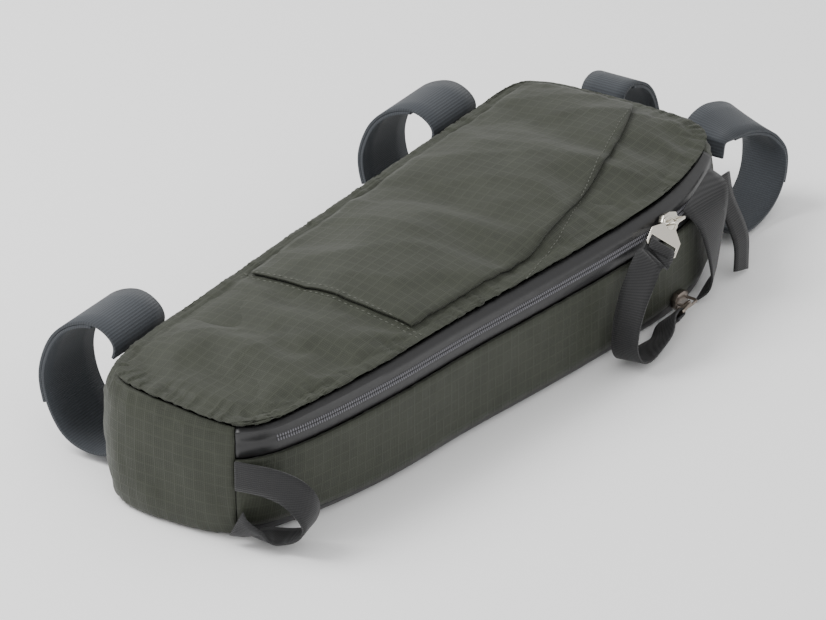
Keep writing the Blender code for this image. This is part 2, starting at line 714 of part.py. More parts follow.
def build_ring(outline, ring, collection):
    """One ring of hook-and-loop tape: two straps that overlap on its far side."""
    centres, acrosses = ring_route(outline, ring)
    middle = (centres[3] + centres[12]) / 2
    route = stations(centres, acrosses, RING_STEPS)
    loop_end = round(LOOP_STRAP_END * RING_STEPS)
    hook_start = round(HOOK_STRAP_START * RING_STEPS)
    hook = []
    for i, (centre, across, face) in enumerate(route):
        # the hook strap lies inside the loop strap, then takes its line
        inward = face * math.copysign(1.0, face.dot(middle - centre))
        past = min(max((i - loop_end - 1) / RING_EASE, 0.0), 1.0)
        inner = 1 - past * past * (3 - 2 * past)
        hook.append((centre + inward * (TAPE + TOUCH_GAP) * inner, across, face))
    for kind, steps in (("loop", route[:loop_end + 1]), ("hook", hook[hook_start:])):
        strap(f"{ring.name}_{kind}", steps, ring.width, TAPE, HOOK_TAPE, collection)


def bend_route(rows, root, reach, rise):
    """A webbing's centres and widths from its table."""
    centres = [root + Vector((row.along * reach, -row.out * reach, row.up * rise)) for row in rows]
    return centres, [Vector((row.across_x, row.across_y, row.across_z)) for row in rows]


def build_webbing(outline, collection):
    """The narrow end's loop, the corner's loop and the strap tail."""
    stand_off = TOUCH_GAP + WEBBING / 2
    point, outward = outline.at(outline.marks["narrow"])
    root = point + outward * 1.4 * stand_off
    centres, acrosses = bend_route(NARROW_LOOP, root, NARROW_LOOP_REACH, NARROW_LOOP_RISE)
    strap("narrow_end_loop", stations(centres, acrosses, 24), NARROW_LOOP_WIDTH, WEBBING,
          GROSGRAIN, collection)

    root = outline.at(outline.nearest_along("zip", "narrow", CORNER_LOOP_ALONG))[0]
    knots = [i / (len(CORNER_LOOP) - 1) for i in range(len(CORNER_LOOP))]
    edges = []
    for side in ("left", "right"):
        edges.append([root + Vector((getattr(row, side + "_along") * CORNER_LOOP_SPAN,
                                     -getattr(row, side + "_out") * CORNER_LOOP_OUT,
                                     getattr(row, side + "_up") * SEAM_HEIGHT))
                      for row in CORNER_LOOP])

    def loop_place(u, v):
        left, right = (smooth(edge, knots, v) for edge in edges)
        return left + (right - left) * u

    sheet("corner_loop", 2, 14, loop_place, WEBBING, GROSGRAIN, collection, offset=0.0)

    root = outline.at(outline.nearest_along("wide_zip", "zip", TAIL_PLACE))[0]
    centres, acrosses = bend_route(TAIL, root, TAIL_REACH, SEAM_HEIGHT)
    strap("strap_tail", stations(centres, acrosses, 12), TAIL_WIDTH, WEBBING, GROSGRAIN,
          collection)


def flat_plate(name, outlines, depth):
    """A flat metal plate: its outline, then its holes, drawn out to a depth."""
    curve = bpy.data.curves.new(name, "CURVE")
    curve.dimensions = "2D"
    curve.fill_mode = "BOTH"
    curve.extrude = depth / 2
    for points in outlines:
        spline = curve.splines.new("POLY")
        spline.points.add(len(points) - 1)
        for knot, (x, y) in zip(spline.points, points):
            knot.co = (x, y, 0.0, 1.0)
        spline.use_cyclic_u = True
    return curve


def bent_wire(name, points, radius):
    """A round wire with closed ends along a run of points."""
    curve = bpy.data.curves.new(name, "CURVE")
    curve.dimensions = "3D"
    curve.bevel_depth = radius
    curve.bevel_resolution = 2
    curve.use_fill_caps = True
    spline = curve.splines.new("POLY")
    spline.points.add(len(points) - 1)
    for knot, point in zip(spline.points, points):
        knot.co = (*point, 1.0)
    return curve


def curve_object(curve, finish, collection):
    """A curve made into a mesh with its caps welded on."""
    source = bpy.data.objects.new(curve.name, curve)
    mesh = bpy.data.meshes.new_from_object(source)
    mesh.name = curve.name
    bpy.data.objects.remove(source, do_unlink=True)
    bpy.data.curves.remove(curve)
    bm = bmesh.new()
    bm.from_mesh(mesh)
    bmesh.ops.remove_doubles(bm, verts=bm.verts, dist=0.00001)
    bmesh.ops.recalc_face_normals(bm, faces=bm.faces)
    bm.to_mesh(mesh)
    bm.free()
    return add_object(mesh, mesh.name, finish, collection)


def arc(radius, start, end, count, centre=(0.0, 0.0)):
    """Points of an arc, in degrees."""
    angles = [math.radians(start + (end - start) * i / count) for i in range(count + 1)]
    return [(centre[0] + radius * math.cos(a), centre[1] + radius * math.sin(a)) for a in angles]


def place_in(obj, origin, x_axis, y_axis, z_axis):
    """Put an object at a point, turned to three directions."""
    obj.location = origin
    obj.rotation_euler = Matrix((x_axis, y_axis, z_axis)).transposed().to_euler()


def slider_seat(outline, slider):
    """Where a slider's back rests on its zip, and which way it faces."""
    place = outline.nearest_along("zip", "narrow", slider.along)
    half = SLIDER_WIDTH / 2
    height = slider.rise * SEAM_HEIGHT
    low = wall_point(outline, place, height - half, slider.bulge)
    high = wall_point(outline, place, height + half, slider.bulge)
    run = Vector((-outline.at(place)[1].y, outline.at(place)[1].x, 0.0))
    up = (high - low).normalized()
    facing = run.cross(up)
    samples = []
    for shift in (-0.5, 0.0, 0.5):
        for rise in (-1.0, -0.5, 0.0, 0.5, 1.0):
            samples.append(wall_point(outline, place + shift * SLIDER_LENGTH, height + rise * half,
                                      slider.bulge))
    middle = wall_point(outline, place, height, slider.bulge)
    proud = max((sample - middle).dot(facing) for sample in samples)
    return middle + facing * (proud + TOUCH_GAP), run, up, facing


def build_slider(outline, slider, collection, cutters):
    """A slider with its bridge, and the tab that hangs on it."""
    seat, run, up, facing = slider_seat(outline, slider)
    length, width = SLIDER_LENGTH / 2, SLIDER_WIDTH / 2
    shoulders = [(-length, 0.45 * width), (-0.55 * length, width), (0.25 * length, width),
                 (length, 0.62 * width)]
    plate = shoulders + [(x, -y) for x, y in reversed(shoulders)]
    body = curve_object(flat_plate(f"{slider.name}_slider", [plate], SLIDER_DEPTH),
                        slider.finish, collection)
    span = BRIDGE_SPAN / 2
    profile = ((-1.0, -0.2), (-1.0, 0.70), (-0.86, 0.93), (-0.6, 1.0), (0.6, 1.0), (0.86, 0.93),
               (1.0, 0.70), (1.0, -0.2))
    face = SLIDER_DEPTH / 2
    bridge_points = [(x * span, 0.0, face + z * BRIDGE_RISE) for x, z in profile]
    bridge = curve_object(bent_wire(f"{slider.name}_bridge", bridge_points, BRIDGE_WIRE),
                          slider.finish, cutters)
    for piece in (body, bridge):
        place_in(piece, seat + facing * SLIDER_DEPTH / 2, run, up, facing)
    join = body.modifiers.new("bridge", "BOOLEAN")
    join.operation = "UNION"
    join.solver = "EXACT"
    join.object = bridge

    ring_centre = seat + facing * (SLIDER_DEPTH + slider.hook * BRIDGE_RISE) - run * span
    tab_run = Vector(slider.run).normalized()
    tab_across = Vector(slider.width)
    tab_across = (tab_across - tab_run * tab_across.dot(tab_run)).normalized()
    half = PULL_WIDTH / 2 + SLOT_PLAY + SLOT_SIDE
    slot_end = TAB_LENGTH - TAB_CROSSBAR
    slot = [(slot_end - SLOT_DEPTH, half - SLOT_SIDE), (slot_end, half - SLOT_SIDE),
            (slot_end, SLOT_SIDE - half), (slot_end - SLOT_DEPTH, SLOT_SIDE - half)]
    sides = [(0.42 * TAB_LENGTH, -half), (0.93 * TAB_LENGTH, -half), (TAB_LENGTH, -0.9 * half)]
    rim = arc(TAB_RING, 70, 290, 10) + sides + [(x, -y) for x, y in reversed(sides)]
    hole = arc(TAB_HOLE, 0, 330, 11)
    tab = curve_object(flat_plate(f"{slider.name}_pull_tab", [rim, hole, slot], TAB_DEPTH),
                       slider.finish, collection)
    place_in(tab, ring_centre, tab_run, tab_across, tab_run.cross(tab_across))
    slot_centre = ring_centre + tab_run * (slot_end - SLOT_DEPTH / 2)
    return slot_centre, tab_run, tab_across


def slot_turn(slot_centre, run, across, tail):
    """The strap's way through a tab's slot, from its short tail to its free run."""
    face = run.cross(across)
    reach = TAB_DEPTH / 2 + TOUCH_GAP + WEBBING / 2
    turn = slot_centre + run * SLOT_DEPTH / 2
    points = [turn + run * tail - face * reach, turn + run * 0.4 * tail - face * reach]
    for x, z in arc(reach, 270, 90, 4):
        points.append(turn + run * x + face * z)
    points.append(turn + run * 0.006 + face * reach)
    return points, [across] * len(points)


def build_pull(slots, collection):
    """The strap that joins the two tabs."""
    (high, high_run, high_across), (low, low_run, low_across) = slots
    start, start_across = slot_turn(high, high_run, high_across, 0.0070)
    end, end_across = slot_turn(low, low_run, low_across, 0.0080)
    root = raised(high, 0.0)
    centres, acrosses = bend_route(PULL_STRAP, root, PULL_REACH, PULL_RISE)
    for centre, row in zip(centres, PULL_STRAP):
        centre.y = root.y - row.out * PULL_OUT
    route = stations(start + centres + end[::-1], start_across + acrosses + end_across, 56)
    strap("pull_strap", route, PULL_WIDTH, WEBBING, GROSGRAIN, collection)


def stand_on_origin(collection):
    """Parent every piece to one empty and put the middle of the foot at the origin."""
    bpy.context.view_layer.update()
    graph = bpy.context.evaluated_depsgraph_get()
    corners = []
    for obj in collection.objects:
        if not obj.hide_render:
            final = obj.evaluated_get(graph)
            corners += [final.matrix_world @ Vector(corner) for corner in final.bound_box]
    low = Vector(min(corner[i] for corner in corners) for i in range(3))
    high = Vector(max(corner[i] for corner in corners) for i in range(3))
    origin = bpy.data.objects.new("origin", None)
    collection.objects.link(origin)
    for obj in list(bpy.data.objects):
        if obj != origin:
            obj.parent = origin
    origin.location = -raised((low + high) / 2, low.z)


def build_all():
    """Model every piece and stand the bag on its origin."""
    clear_scene()
    collection = bpy.data.collections.new(BODY_COLLECTION)
    cutters = bpy.data.collections.new("joined_pieces")
    for made in (collection, cutters):
        bpy.context.scene.collection.children.link(made)
    outline = Outline(OUTLINE)
    build_body(outline, collection)
    for ring in RINGS:
        build_ring(outline, ring, collection)
    build_webbing(outline, collection)
    slots = [build_slider(outline, slider, collection, cutters) for slider in SLIDERS]
    build_pull(slots, collection)
    for obj in cutters.objects:
        obj.hide_render = True
        obj.display_type = "WIRE"
    stand_on_origin(collection)


build_all()
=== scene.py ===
"""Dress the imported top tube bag: ripstop cloth, zips, straps, webbing and metal.

X runs from the narrow end to the wide end, -Y is the zip side and Z is up.
Sizes are in metres.
"""
import math

import bmesh
import bpy
from bpy.props import FloatProperty, IntProperty, PointerProperty, StringProperty
from mathutils import Matrix, Vector, noise
from mathutils.bvhtree import BVHTree
from mathutils.kdtree import KDTree


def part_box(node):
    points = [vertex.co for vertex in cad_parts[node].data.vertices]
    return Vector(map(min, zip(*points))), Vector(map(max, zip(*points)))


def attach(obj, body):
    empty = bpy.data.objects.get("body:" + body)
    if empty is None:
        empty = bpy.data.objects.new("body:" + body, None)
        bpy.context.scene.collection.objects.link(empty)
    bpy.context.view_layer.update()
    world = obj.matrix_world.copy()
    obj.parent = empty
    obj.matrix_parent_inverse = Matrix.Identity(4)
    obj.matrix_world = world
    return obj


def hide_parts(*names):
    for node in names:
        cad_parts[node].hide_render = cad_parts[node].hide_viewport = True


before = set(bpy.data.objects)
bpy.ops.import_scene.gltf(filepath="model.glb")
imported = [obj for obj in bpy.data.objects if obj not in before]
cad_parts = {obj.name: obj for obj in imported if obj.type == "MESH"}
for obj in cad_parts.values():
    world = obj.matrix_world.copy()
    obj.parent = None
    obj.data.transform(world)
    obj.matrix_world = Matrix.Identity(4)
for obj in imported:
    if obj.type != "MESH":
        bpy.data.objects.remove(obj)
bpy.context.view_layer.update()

bl_info = {
    "name": "Top tube bag",
    "version": (1, 0, 0),
    "blender": (4, 5, 0),
    "location": "3D View > Sidebar > Bag",
    "description": "Dresses the packed top tube bag with cloth, zips, straps and metal",
    "category": "Object",
}

MM = 0.001
# CAD copies are split this often, and edges that turn more than this stay crisp
SMOOTH_LEVELS = 2
CREASE_ANGLE = 1.0
MERGE_DISTANCE = 1e-6
# Gathers and creases start this far in from a seam
GATHER_START = 0.0018
CREASE_START = 0.010
# The simulation holds the panel this near its seam and its foot
PIN_EDGE = 0.006
PIN_FOOT = 0.002
# The pocket's upper and under face over the panel
FLAP_TOP = 0.0021
FLAP_UNDER = 0.0010
# Points clear of the whole bag, to look down and across from
ABOVE_BAG = 0.2
BESIDE_BAG = -0.3
STITCH_HEIGHT = 0.1
# How far stitches and teeth stand off the cloth, and their own sizes
BEAD_LIFT = 0.0001
STITCH_WIDTH = 0.0006
STITCH_THICKNESS = 0.0005
TOOTH_LENGTH = 0.0017
TOOTH_WIDTH = 0.0009
TOOTH_OFFSET = 0.0009
# Teeth left out at the coil's narrow and wide end
COIL_SKIP = (12, 8)
# The cross seam's two rows, measured from the pocket's edge
CROSS_ROWS = (-0.0012, 0.0022)
# The hem's stitches, as shares of the pocket's box along and across
HEM_ROW = ((0.975, 0.35), (0.90, 0.305), (0.80, 0.235), (0.63, 0.10), (0.46, -0.02),
           (0.30, -0.08), (0.16, -0.095))
METAL_EDGE = 0.00025
# Each cloth piece and its share of the gathers and creases; the order sets the seeds
CLOTH = {
    "upper_panel": 1.0, "pocket_flap": 0.35, "lower_panel": 0.3, "tube_gusset": 1.0,
    "zip_gusset": 0.45, "narrow_end_panel": 1.0, "wide_end_panel": 1.0,
}
RINGS = ("tube_strap_near", "tube_strap_far", "end_strap_left", "end_strap_right")
WEBBING = ("narrow_end_loop", "corner_loop", "strap_tail", "pull_strap")
# Where each panel's weave is laid: the two axes of its flat pattern
FLAT_AXES = {
    "upper_panel": (0, 1), "pocket_flap": (0, 1), "lower_panel": (0, 1), "tube_gusset": (0, 2),
    "zip_gusset": (0, 2), "narrow_end_panel": (1, 2), "wide_end_panel": (1, 2),
    "upper_zip": (0, 2), "lower_zip": (0, 2), "corner_loop": (0, 2), "strap_tail": (0, 2),
    "pull_strap": (1, 2), "narrow_end_loop": (1, 2),
}


class BagSizes(bpy.types.PropertyGroup):
    """Sizes of the cloth's and the zips' fine shape."""

    pucker: FloatProperty(name="Seam pucker", description="Height of the gathers at the seams",
                          default=0.0011, unit="LENGTH")
    pucker_step: FloatProperty(name="Pucker spacing", description="Distance between two gathers",
                               default=0.0075, unit="LENGTH")
    pucker_reach: FloatProperty(name="Pucker reach", description="How far gathers run from a seam",
                                default=0.0090, unit="LENGTH")
    crease: FloatProperty(name="Crease", description="Height of the cloth's soft creases",
                          default=0.0018, unit="LENGTH")
    crease_step: FloatProperty(name="Crease spacing", description="Distance between two creases",
                               default=0.030, unit="LENGTH")
    swell_cap: FloatProperty(name="Swell limit", description="How far cloth may move in its simulation",
                             default=0.0030, unit="LENGTH")
    frames: IntProperty(name="Simulation frames", description="Last frame of the simulation",
                        default=20, min=2)
    coil_step: FloatProperty(name="Coil spacing", description="Distance between two zip teeth",
                             default=0.0014, unit="LENGTH")
    coil_height: FloatProperty(name="Coil height", description="Height of the upper zip's teeth",
                               default=0.0527, unit="LENGTH")
    stitch: FloatProperty(name="Stitch", description="Length of a stitch",
                          default=0.0022, unit="LENGTH")
    stitch_gap: FloatProperty(name="Stitch gap", description="Gap between two stitches",
                              default=0.0011, unit="LENGTH")


class BagColours(bpy.types.PropertyGroup):
    """Colours of the finishes, as sRGB hex values."""

    cloth: StringProperty(name="Cloth", description="Ripstop cloth", default="#34372D")
    cloth_dark: StringProperty(name="Cloth shade", description="Gaps of the weave",
                               default="#1D1F18")
    zip_tape: StringProperty(name="Zip tape", description="Laminated zip tape", default="#1B1B1C")
    coil: StringProperty(name="Coil", description="Zip teeth", default="#6A696F")
    webbing: StringProperty(name="Webbing", description="Grosgrain webbing", default="#2B2B2C")
    tape: StringProperty(name="Tape", description="Hook-and-loop tape", default="#41454A")
    tape_dark: StringProperty(name="Tape shade", description="Gaps between the tape's ribs",
                              default="#303235")
    thread: StringProperty(name="Thread", description="Stitches", default="#4E5048")
    nickel: StringProperty(name="Nickel", description="Upper slider and tab", default="#D8D3C8")
    # the lower slider's nickel, painted darker as shade under the bag's lower edge
    dark_nickel: StringProperty(name="Dark nickel", description="Lower slider and tab",
                                default="#857C74")


def linear(hex_colour):
    """An sRGB hex colour as linear RGBA."""
    parts = [int(hex_colour[i:i + 2], 16) / 255 for i in (1, 3, 5)]
    return (*[p / 12.92 if p <= 0.04045 else ((p + 0.055) / 1.055) ** 2.4 for p in parts], 1.0)


def add_node(tree, kind, settings=None, **links):
    """Add a node; settings are its properties, links are its inputs' values or sockets."""
    node = tree.nodes.new(kind)
    for name, value in (settings or {}).items():
        setattr(node, name, value)
    for name, value in links.items():
        index = int(name[1:]) if name[0] == "i" and name[1:].isdigit() else name.replace("_", " ")
        socket = node.inputs[index]
        if isinstance(value, bpy.types.NodeSocket):
            tree.links.new(value, socket)
        else:
            socket.default_value = value
    return node


def new_material(name):
    """A material with its node tree and shader."""
    material = bpy.data.materials.new(name)
    material.use_nodes = True
    return material, material.node_tree, material.node_tree.nodes["Principled BSDF"]


def bands(tree, place, spacing, distortion=0.0):
    """A smooth line pattern with a real spacing, 0 to 1."""
    period_at_one = 2 * math.pi / 20
    return add_node(tree, "ShaderNodeTexWave", {"wave_type": "BANDS", "bands_direction": "X"},
                    Vector=place, Scale=period_at_one / spacing, Distortion=distortion,
                    Detail=1.0).outputs["Fac"]


def turned(tree, place, turn):
    """A pattern's place turned by an angle."""
    return add_node(tree, "ShaderNodeMapping", None, Vector=place,
                    Rotation=(0.0, 0.0, turn)).outputs["Vector"]


def ripstop_material(colours):
    """Polyester ripstop, plain woven: matt, with a fine grain and a grid of raised threads."""
    material, tree, shader = new_material("polyester_ripstop")
    place = add_node(tree, "ShaderNodeUVMap", {"uv_map": "flat"}).outputs["UV"]
    # real threads are about 0.25 mm apart, too fine to show, so they are drawn at 1.1 mm
    along = bands(tree, place, 1.1 * MM, 1.2)
    across = bands(tree, turned(tree, place, math.pi / 2), 0.9 * MM, 1.2)
    grain = add_node(tree, "ShaderNodeMath", {"operation": "MULTIPLY"}, i0=along, i1=across)
    grid = [add_node(tree, "ShaderNodeMath", {"operation": "POWER"},
                     i0=bands(tree, turned(tree, place, angle), 5.5 * MM), i1=14.0).outputs[0]
            for angle in (0.0, math.pi / 2)]
    lines = add_node(tree, "ShaderNodeMath", {"operation": "MAXIMUM"}, i0=grid[0], i1=grid[1])
    worn = add_node(tree, "ShaderNodeTexNoise", None, Vector=place, Scale=55.0, Detail=5.0,
                    Roughness=0.6)
    share = add_node(tree, "ShaderNodeMath", {"operation": "MULTIPLY_ADD"},
                     i0=grain.outputs[0], i1=0.75, i2=worn.outputs["Fac"])
    light = add_node(tree, "ShaderNodeMath", {"operation": "MULTIPLY_ADD", "use_clamp": True},
                     i0=lines.outputs[0], i1=0.4, i2=share.outputs[0])
    colour = add_node(tree, "ShaderNodeMix", {"data_type": "RGBA"}, Factor=light.outputs[0])
    colour.inputs["A"].default_value = linear(colours.cloth_dark)
    colour.inputs["B"].default_value = linear(colours.cloth)
    height = add_node(tree, "ShaderNodeMath", {"operation": "ADD"},
                      i0=grain.outputs[0], i1=lines.outputs[0])
    bump = add_node(tree, "ShaderNodeBump", None, Strength=0.35, Distance=0.00025,
                    Height=height.outputs[0])
    tree.links.new(colour.outputs["Result"], shader.inputs["Base Color"])
    tree.links.new(bump.outputs["Normal"], shader.inputs["Normal"])
    shader.inputs["Roughness"].default_value = 0.62
    shader.inputs["Specular IOR Level"].default_value = 0.3
    shader.inputs["Sheen Weight"].default_value = 0.08
    shader.inputs["Sheen Roughness"].default_value = 0.45
    return material


def tape_material(name, light_hex, dark_hex, spacing, roughness, fuzz):
    """Woven tape: ribs across its length, with a short dull pile that catches light."""
    material, tree, shader = new_material(name)
    place = add_node(tree, "ShaderNodeUVMap", {"uv_map": "flat"}).outputs["UV"]
    ribs = bands(tree, place, spacing, 0.4)
    threads = bands(tree, turned(tree, place, math.pi / 2), 0.9 * MM, 0.8)
    pile = add_node(tree, "ShaderNodeTexNoise", None, Vector=place, Scale=900.0, Detail=4.0)
    weave = add_node(tree, "ShaderNodeMath", {"operation": "MULTIPLY_ADD"}, i0=threads, i1=0.35,
                     i2=ribs)
    mixed = add_node(tree, "ShaderNodeMix", None, Factor=fuzz)
    tree.links.new(weave.outputs[0], mixed.inputs["A"])
    tree.links.new(pile.outputs["Fac"], mixed.inputs["B"])
    colour = add_node(tree, "ShaderNodeMix", {"data_type": "RGBA"}, Factor=mixed.outputs["Result"])
    colour.inputs["A"].default_value = linear(dark_hex)
    colour.inputs["B"].default_value = linear(light_hex)
    bump = add_node(tree, "ShaderNodeBump", None, Strength=0.6, Distance=0.0003,
                    Height=mixed.outputs["Result"])
    tree.links.new(colour.outputs["Result"], shader.inputs["Base Color"])
    tree.links.new(bump.outputs["Normal"], shader.inputs["Normal"])
    shader.inputs["Roughness"].default_value = roughness
    shader.inputs["Specular IOR Level"].default_value = 0.3
    shader.inputs["Sheen Weight"].default_value = 0.1
    return material


def zip_material(colours):
    """Polyester zip tape with a film on it: smooth, half glossy, faintly marked."""
    material, tree, shader = new_material("laminated_polyester")
    place = add_node(tree, "ShaderNodeTexCoord").outputs["Object"]
    marks = add_node(tree, "ShaderNodeTexNoise", None, Vector=place, Scale=220.0, Detail=3.0)
    rough = add_node(tree, "ShaderNodeMapRange", None, Value=marks.outputs["Fac"])
    rough.inputs["To Min"].default_value = 0.30
    rough.inputs["To Max"].default_value = 0.48
    bump = add_node(tree, "ShaderNodeBump", None, Strength=0.15, Distance=0.0003,
                    Height=marks.outputs["Fac"])
    tree.links.new(rough.outputs["Result"], shader.inputs["Roughness"])
    tree.links.new(bump.outputs["Normal"], shader.inputs["Normal"])
    shader.inputs["Base Color"].default_value = linear(colours.zip_tape)
    return material


def plain_material(name, hex_colour, roughness, metallic, wear_scale):
    """Moulded, drawn or cast pieces: one colour, with fine wear in the gloss."""
    material, tree, shader = new_material(name)
    place = add_node(tree, "ShaderNodeTexCoord").outputs["Object"]
    wear = add_node(tree, "ShaderNodeTexNoise", None, Vector=place, Scale=wear_scale, Detail=4.0)
    rough = add_node(tree, "ShaderNodeMapRange", None, Value=wear.outputs["Fac"])
    rough.inputs["To Min"].default_value = roughness * 0.75
    rough.inputs["To Max"].default_value = roughness * 1.25
    tree.links.new(rough.outputs["Result"], shader.inputs["Roughness"])
    shader.inputs["Base Color"].default_value = linear(hex_colour)
    shader.inputs["Metallic"].default_value = metallic
    return material


def make(name, builder, *values):
    """A material made once."""
    return bpy.data.materials.get(name) or builder(*values)


def finish_of(kind):
    """The material of a kind of piece."""
    colours = bpy.context.scene.bag_colours
    if kind == "cloth":
        return make("polyester_ripstop", ripstop_material, colours)
    if kind == "zip":
        return make("laminated_polyester", zip_material, colours)
    if kind == "webbing":
        # nylon grosgrain, fine ribs across its length
        return make("nylon_grosgrain", tape_material, "nylon_grosgrain", colours.webbing, "#1B1B1C",
                    1.0 * MM, 0.72, 0.25)
    if kind == "tape":
        # nylon hook-and-loop tape, ribbed where its pile is bare
        return make("nylon_hook_tape", tape_material, "nylon_hook_tape", colours.tape,
                    colours.tape_dark, 1.5 * MM, 0.85, 0.45)
    if kind == "thread":
        # spun polyester thread: dull, a little paler than the cloth
        return make("polyester_thread", plain_material, "polyester_thread", colours.thread, 0.6, 0.0,
                    900.0)
    if kind == "coil":
        # drawn nylon: small soft highlights on each tooth
        return make("nylon_coil", plain_material, "nylon_coil", colours.coil, 0.35, 0.0, 700.0)
    if kind == "nickel":
        # plated zinc: bright, with a slightly uneven gloss
        return make("nickel_plated_zinc", plain_material, "nickel_plated_zinc", colours.nickel, 0.22,
                    1.0, 500.0)
    # nickel on zinc, the same gloss, much darker: painted shade for the lower slider under the bag's
    # lower edge
    return make("black_nickel_zinc", plain_material, "black_nickel_zinc", colours.dark_nickel, 0.3,
                1.0, 500.0)


def mesh_object(name, bm):
    """An object for a finished bmesh."""
    mesh = bpy.data.meshes.new(name)
    bm.to_mesh(mesh)
    bm.free()
    mesh.shade_smooth()
    obj = bpy.data.objects.new(name, mesh)
    bpy.context.scene.collection.objects.link(obj)
    return obj


def applied(obj):
    """The object with its modifiers made part of its mesh."""
    graph = bpy.context.evaluated_depsgraph_get()
    mesh = bpy.data.meshes.new_from_object(obj.evaluated_get(graph))
    obj.modifiers.clear()
    obj.data = mesh
    mesh.shade_smooth()
    return obj


def dense_copy(node, name):
    """A CAD node's merged copy, smoothed into fine faces; sharp edges stay crisp."""
    bm = bmesh.new()
    bm.from_mesh(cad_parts[node].data)
    bmesh.ops.remove_doubles(bm, verts=bm.verts, dist=MERGE_DISTANCE)
    bmesh.ops.join_triangles(bm, faces=bm.faces, cmp_seam=False, cmp_sharp=False, cmp_uvs=False,
                             cmp_vcols=False, cmp_materials=False, angle_face_threshold=0.9,
                             angle_shape_threshold=3.1)
    crease = bm.edges.layers.float.new("crease_edge")
    for edge in bm.edges:
        if len(edge.link_faces) == 2 and edge.calc_face_angle(0.0) > CREASE_ANGLE:
            edge[crease] = 1.0
    obj = mesh_object(name, bm)
    smooth = obj.modifiers.new("smooth", "SUBSURF")
    smooth.levels = smooth.render_levels = SMOOTH_LEVELS
    return applied(obj)


def lay_flat(obj, place):
    """Write the flat UV map, in metres, from place(co)."""
    layer = obj.data.uv_layers.new(name="flat")
    for loop in obj.data.loops:
        layer.data[loop.index].uv = place(obj.data.vertices[loop.vertex_index].co)


def dress(obj, nodes, kind):
    """Give a finished piece its material and its place on the body."""
    obj.data.materials.clear()
    obj.data.materials.append(finish_of(kind))
    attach(obj, "root")
    if nodes:
        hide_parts(*nodes)


def ring_outline(obj, axes, bins=240):
    """The outermost points of a piece round its middle, seen along one axis."""
    a, b = axes
    low = Vector(min(v.co[i] for v in obj.data.vertices) for i in range(3))
    high = Vector(max(v.co[i] for v in obj.data.vertices) for i in range(3))
    middle = (low + high) / 2
    scale = (high[b] - low[b]) / (high[a] - low[a])
    best = {}
    for v in obj.data.vertices:
        turn = math.atan2(v.co[b] - middle[b], (v.co[a] - middle[a]) * scale)
        spot = int((turn + math.pi) / (2 * math.pi) * bins) % bins
        reach = math.hypot(v.co[b] - middle[b], (v.co[a] - middle[a]) * scale)
        if spot not in best or reach > best[spot][0]:
            best[spot] = (reach, v.co.copy())
    return [best[i][1] for i in sorted(best)]


def outline_tree(ring, axes):
    """A tree of an outline's points, seen along one axis."""
    tree = KDTree(len(ring))
    for i, p in enumerate(ring):
        tree.insert((p[axes[0]], p[axes[1]], 0.0), i)
    tree.balance()
    return tree


def pucker_cloth(obj, axes, sizes, seed, strength=1.0):
    """Gathers that run in from the piece's edge, and soft creases all over it."""
    ring = ring_outline(obj, axes)
    a, b = axes
    lengths = [0.0]
    for p, q in zip(ring, ring[1:]):
        lengths.append(lengths[-1] + (q - p).length)
    nearest = outline_tree(ring, axes)
    normals = [v.normal.copy() for v in obj.data.vertices]
    for v, normal in zip(obj.data.vertices, normals):
        near, distance = nearest.find((v.co[a], v.co[b], 0.0))[1:]
        round_it = lengths[near]
        wander = noise.noise(Vector((round_it * 60, seed, 0)))
        wave = math.sin(2 * math.pi * round_it / sizes.pucker_step + 5 * wander)
        local = 0.35 + 0.65 * max(0.0, noise.noise(Vector((round_it * 25, seed + 7, 0))) + 0.45)
        held = 1.0 - math.exp(-distance / GATHER_START)
        gather = sizes.pucker * local * wave * held * math.exp(-distance / sizes.pucker_reach)
        spot = Vector((v.co[a] + 0.5 * v.co[b], v.co[b] * 0.45, seed)) / sizes.crease_step
        fold = 1.0 - abs(noise.noise(spot) * 2.0)
        soft = noise.noise(spot * 0.45 + Vector((3, 1, 0)))
        edge_fade = 1.0 - math.exp(-distance / CREASE_START)
        crease = sizes.crease * (0.45 * (fold ** 5 - 0.35) + 0.7 * soft) * edge_fade
        v.co += normal * strength * (gather + crease)
    obj.data.update()


def settle(obj, sizes):
    """Let the panel's cloth swell and buckle between its pinned edges."""
    start = [v.co.copy() for v in obj.data.vertices]
    ring = ring_outline(obj, (0, 1))
    nearest = outline_tree(ring, (0, 1))
    low = min(v.co.z for v in obj.data.vertices)
    pins = obj.vertex_groups.new(name="pins")
    for v in obj.data.vertices:
        edge = nearest.find((v.co.x, v.co.y, 0.0))[2]
        # the under layer faces down or sideways, and is held too
        held = edge < PIN_EDGE or v.normal.z < 0.2 or v.co.z < low + PIN_FOOT
        pins.add([v.index], float(held), "REPLACE")
    cloth = obj.modifiers.new("cloth", "CLOTH")
    settings = cloth.settings
    settings.quality = 4
    settings.mass = 0.12
    settings.tension_stiffness = settings.compression_stiffness = 12.0
    settings.shear_stiffness = 4.0
    settings.bending_stiffness = 0.4
    settings.vertex_group_mass = "pins"
    settings.pin_stiffness = 1.0
    settings.use_pressure = True
    settings.uniform_pressure_force = 0.6
    settings.shrink_min = settings.shrink_max = -0.012
    settings.effector_weights.gravity = 0.0
    cloth.point_cache.frame_start, cloth.point_cache.frame_end = 1, sizes.frames
    scene = bpy.context.scene
    for step in range(1, sizes.frames + 1):
        scene.frame_set(step)
    applied(obj)
    scene.frame_set(1)
    for v, before in zip(obj.data.vertices, start):
        move = v.co - before
        if move.length > sizes.swell_cap:
            v.co = before + move.normalized() * sizes.swell_cap
    obj.vertex_groups.clear()
    obj.data.update()


def surface_of(*objects):
    """A tree for finding points on finished pieces."""
    verts, faces = [], []
    for obj in objects:
        start = len(verts)
        verts += [v.co.copy() for v in obj.data.vertices]
        faces += [[start + i for i in face.vertices] for face in obj.data.polygons]
    return BVHTree.FromPolygons(verts, faces)


